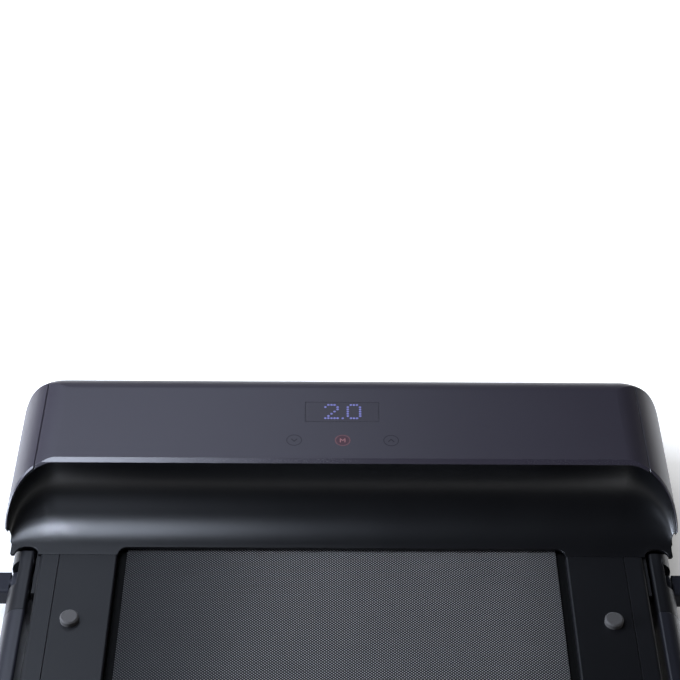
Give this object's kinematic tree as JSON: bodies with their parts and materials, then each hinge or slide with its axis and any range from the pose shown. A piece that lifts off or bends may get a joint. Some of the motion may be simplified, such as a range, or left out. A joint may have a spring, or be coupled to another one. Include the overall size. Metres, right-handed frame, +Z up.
{
  "type": "walking pad",
  "caption": "Folding under-desk walking pad: motor housing with a scooped cove, wide side rails, walking belt and a U-shaped handrail folded flat around the deck.",
  "frame": {"origin": "on the floor under the middle of the whole pad", "axes": "+Y forward to the motor housing, +Z up, +X to the walker's right"},
  "size_m": [0.72, 1.3224, 0.131],
  "materials": {
    "housing": "satin moulded plastic with a fine grain",
    "cove": "smooth semi-gloss moulded plastic",
    "tray": "matt moulded plastic",
    "lens": "smoked gloss window",
    "circuit": "glass-fibre board with solder mask",
    "motor": "black lacquered steel",
    "steel": "turned bright steel",
    "zinc": "zinc-plated steel",
    "sink": "extruded aluminium",
    "drive_rubber": "ribbed rubber",
    "socket": "moulded nylon",
    "frame": "black powder coat",
    "board": "waxed fibreboard",
    "tread": "satin grained side rail",
    "trim": "satin extruded edge trim",
    "bumper": "grey rubber",
    "belt": "woven-textured belt",
    "foot": "soft black rubber",
    "wheel": "hard rubber",
    "arm": "satin dark grey paint",
    "hub": "satin moulded nylon",
    "grip": "closed-cell foam sleeve",
    "knob": "satin moulded nylon"
  },
  "bodies": {
    "base": {"top_cover": "housing", "end_cap_left": "housing", "end_cap_right": "housing", "cove_panel": "cove", "base_pan": "tray", "display_lens": "lens", "display_board": "circuit", "motor_can": "motor", "motor_cradle": "frame", "drive_belt": "drive_rubber", "front_axle": "zinc", "controller_board": "circuit", "heat_sink": "sink", "power_socket": "socket", "front_frame": "frame", "front_deck_board": "board", "front_tread_left": "tread", "front_tread_right": "tread", "front_trim_left": "trim", "front_trim_right": "trim", "fold_bumpers": "bumper", "walking_belt": "belt", "front_belly_pan": "tray", "front_feet": "foot", "pivot_brackets": "frame", "pivot_pins": "zinc", "front_hinge_leaves": "frame", "hinge_pins": "zinc", "wheel_axles": "zinc"},
    "rear_deck": {"rear_frame": "frame", "rear_deck_board": "board", "rear_tread_left": "tread", "rear_tread_right": "tread", "rear_trim_left": "trim", "rear_trim_right": "trim", "rear_belly_pan": "tray", "rear_feet": "foot", "rear_axle": "zinc", "tension_bolts": "zinc", "rear_end_cap": "tread", "rear_hinge_leaves": "frame"},
    "handrail": {"handrail_hub_left": "hub", "handrail_hub_right": "hub", "handrail_arm_left": "arm", "handrail_arm_right": "arm", "handrail_corner_left": "hub", "handrail_corner_right": "hub", "handrail_crossbar": "arm", "grip_left": "grip", "grip_right": "grip"},
    "knob_left": {"knob_left": "knob"},
    "knob_right": {"knob_right": "knob"},
    "drive_roller": {"drive_roller": "steel", "roller_pulley": "sink"},
    "rear_roller": {"rear_roller": "steel"},
    "motor_rotor": {"motor_rotor": "steel"},
    "wheel_left": {"wheel_left": "wheel"},
    "wheel_right": {"wheel_right": "wheel"},
    "power_rocker": {"power_rocker": "socket"}
  },
  "joints": [
    {"name": "deck_fold", "type": "hinge", "parent": "base", "child": "rear_deck", "pos_m": [0, -0.07225, 0.06915], "axis": [-1, 0, 0], "range_deg": [0, 180], "deforming": ["walking_belt"]},
    {"name": "handrail_fold", "type": "hinge", "parent": "base", "child": "handrail", "pos_m": [0, 0.42975, 0.04], "axis": [-1, 0, 0], "range_deg": [0, 90]},
    {"name": "knob_left_turn", "type": "hinge", "parent": "handrail", "child": "knob_left", "pos_m": [-0.33, 0.42975, 0.04], "axis": [-1, 0, 0], "range_deg": [0, 180]},
    {"name": "knob_right_turn", "type": "hinge", "parent": "handrail", "child": "knob_right", "pos_m": [0.33, 0.42975, 0.04], "axis": [-1, 0, 0], "range_deg": [0, 180]},
    {"name": "drive_roller_spin", "type": "hinge", "parent": "base", "child": "drive_roller", "pos_m": [0, 0.49475, 0.0379], "axis": [1, 0, 0], "continuous": true},
    {"name": "rear_roller_spin", "type": "hinge", "parent": "rear_deck", "child": "rear_roller", "pos_m": [0, -0.56325, 0.0379], "axis": [1, 0, 0], "continuous": true},
    {"name": "motor_spin", "type": "hinge", "parent": "base", "child": "motor_rotor", "pos_m": [-0.15, 0.58125, 0.072], "axis": [1, 0, 0], "continuous": true},
    {"name": "wheel_left_spin", "type": "hinge", "parent": "base", "child": "wheel_left", "pos_m": [-0.23, 0.63975, 0.018], "axis": [1, 0, 0], "continuous": true},
    {"name": "wheel_right_spin", "type": "hinge", "parent": "base", "child": "wheel_right", "pos_m": [0.23, 0.63975, 0.018], "axis": [1, 0, 0], "continuous": true},
    {"name": "power_switch", "type": "hinge", "parent": "base", "child": "power_rocker", "pos_m": [0.2089, 0.65725, 0.05725], "axis": [1, 0, 0], "range_deg": [-6, 6]}
  ],
  "couplings": [
    {"joint": "rear_roller_spin", "follows": "drive_roller_spin", "ratio": 1},
    {"joint": "motor_spin", "follows": "drive_roller_spin", "ratio": 1.8}
  ]
}
